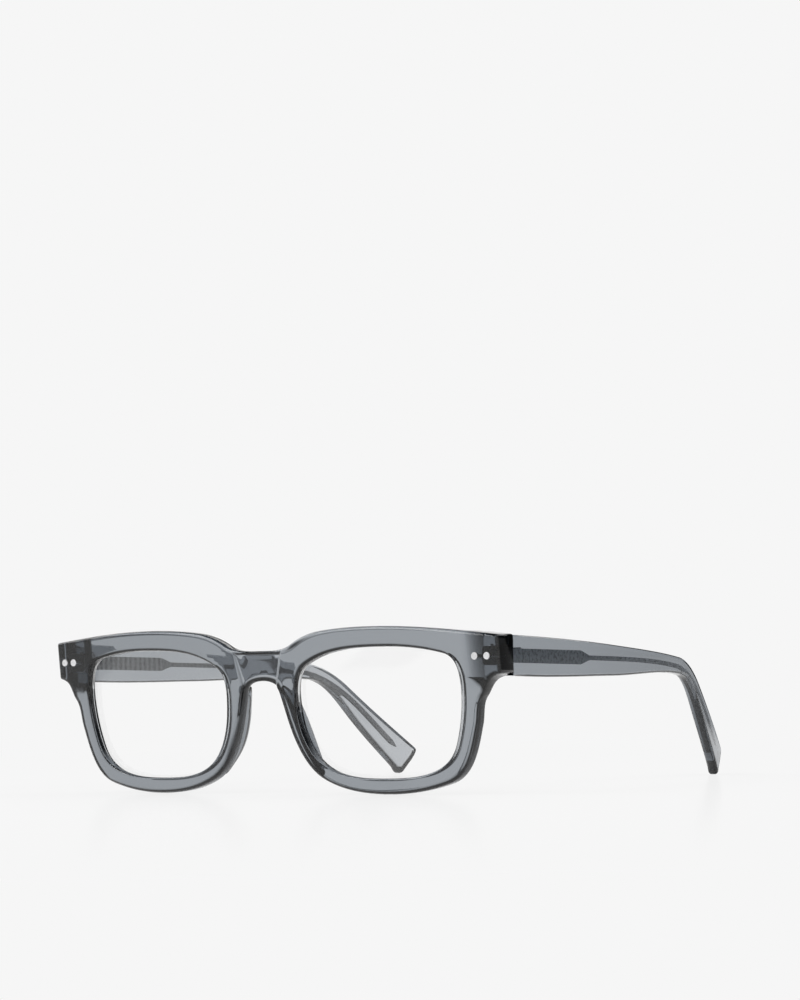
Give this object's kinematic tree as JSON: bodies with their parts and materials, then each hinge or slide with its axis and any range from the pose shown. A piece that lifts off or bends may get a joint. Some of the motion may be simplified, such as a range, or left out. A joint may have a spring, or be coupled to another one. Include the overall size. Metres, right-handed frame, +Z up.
{
  "type": "reading glasses",
  "caption": "Rectangular full-rim reading glasses in clear grey acetate with riveted barrel hinges, a faceted bridge and folding temples with curved tips.",
  "frame": {"origin": "the middle of the bounding box at its base: on the surface that the rims and the temple tips rest on, under the middle of the nose, halfway back between the front and the tips", "axes": "+Z up. The front looks along -Y and the open temples run back along +Y. -X is the wearer's right, so the nodes named right lie at -X, and +X the wearer's left"},
  "size_m": [0.143, 0.1441, 0.0428],
  "materials": {
    "front_acetate": "polished, see-through smoky grey acetate",
    "temple_acetate": "polished, see-through smoky grey acetate",
    "pad_acetate": "polished, see-through smoky grey acetate",
    "lens": "clear, polished",
    "rivet_metal": "polished round heads",
    "hinge_metal": "fine brushed",
    "screw_metal": "turned, bright",
    "core_metal": "drawn wire with a pressed flat end"
  },
  "bodies": {
    "front": {"front_frame": "front_acetate", "right_lens": "lens", "left_lens": "lens", "right_nose_pad": "pad_acetate", "left_nose_pad": "pad_acetate", "right_front_hinge": "hinge_metal", "left_front_hinge": "hinge_metal", "right_outer_rivet": "rivet_metal", "right_inner_rivet": "rivet_metal", "left_outer_rivet": "rivet_metal", "left_inner_rivet": "rivet_metal", "right_hinge_screw": "screw_metal", "left_hinge_screw": "screw_metal"},
    "left_temple": {"left_temple_arm": "temple_acetate", "left_core_wire": "core_metal", "left_temple_hinge": "hinge_metal"},
    "right_temple": {"right_temple_arm": "temple_acetate", "right_core_wire": "core_metal", "right_temple_hinge": "hinge_metal"}
  },
  "joints": [
    {"name": "left_temple_fold", "type": "hinge", "parent": "front", "child": "left_temple", "pos_m": [0.0657, -0.0576, 0.03507], "axis": [0, 0, 1], "range_deg": [0, 84]},
    {"name": "right_temple_fold", "type": "hinge", "parent": "front", "child": "right_temple", "pos_m": [-0.0657, -0.0576, 0.03507], "axis": [0, 0, -1], "range_deg": [0, 78]}
  ]
}
